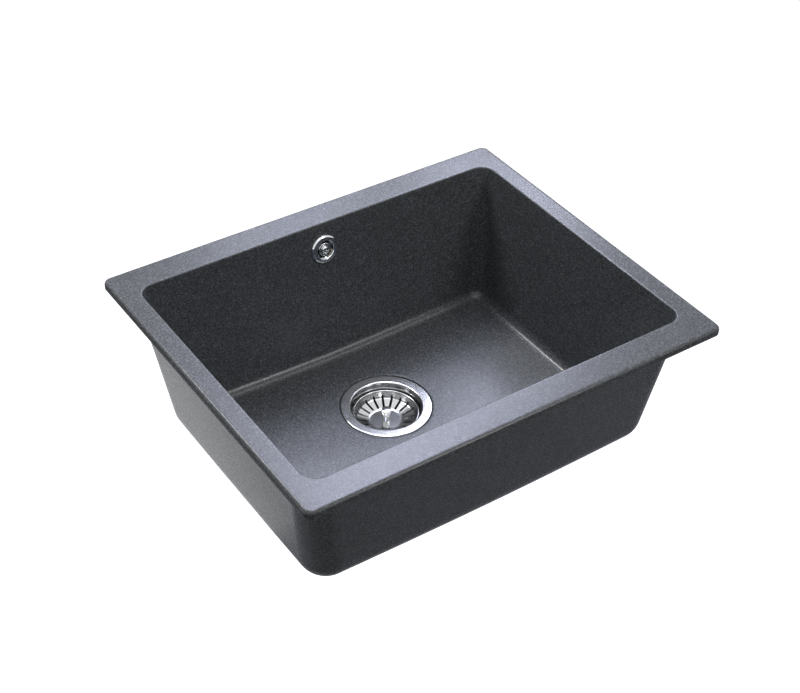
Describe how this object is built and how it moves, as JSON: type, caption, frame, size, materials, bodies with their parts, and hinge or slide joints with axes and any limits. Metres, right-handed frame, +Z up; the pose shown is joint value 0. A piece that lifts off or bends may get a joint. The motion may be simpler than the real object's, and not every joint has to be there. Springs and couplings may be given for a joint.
{
  "type": "kitchen sink",
  "caption": "Rectangular inset kitchen sink in dark quartz composite with a flat rim, deep drafted bowl, back-wall overflow and a basket waste whose strainer lifts out to open the drain.",
  "frame": {"origin": "middle of the rim in plan, on the rim's underside, which is the worktop's top surface", "axes": "+X along the long side, +Y to the back wall with the overflow, +Z up out of the bowl"},
  "size_m": [0.55, 0.455, 0.287],
  "materials": {
    "quartz": "matt, fine light grain",
    "steel": "polished",
    "chrome": "polished",
    "brass": "plain",
    "rubber": "matt",
    "white_plastic": "satin"
  },
  "bodies": {
    "sink": {"bowl": "quartz", "rim_inserts": "brass", "strainer_cup": "steel", "flange_gasket": "rubber", "underside_gasket": "rubber", "waste_body": "white_plastic", "outlet_tail": "white_plastic", "clamp_screw": "steel", "clamp_nut": "brass", "overflow_rosette": "chrome", "overflow_screw": "chrome", "overflow_gasket": "rubber", "overflow_elbow": "white_plastic", "overflow_screw_insert": "brass", "overflow_pipe": "white_plastic", "upper_pipe_nut": "white_plastic", "upper_pipe_seal": "rubber", "lower_pipe_nut": "white_plastic", "lower_pipe_seal": "rubber"},
    "basket": {"basket_shell": "steel", "basket_stopper": "rubber", "basket_washer": "steel", "basket_nut": "steel", "basket_stem": "steel", "basket_knob": "steel"}
  },
  "joints": [
    {"name": "basket_lift", "type": "slide", "parent": "sink", "child": "basket", "axis": [0, 0, 1], "range_m": [0, 0.24]}
  ]
}
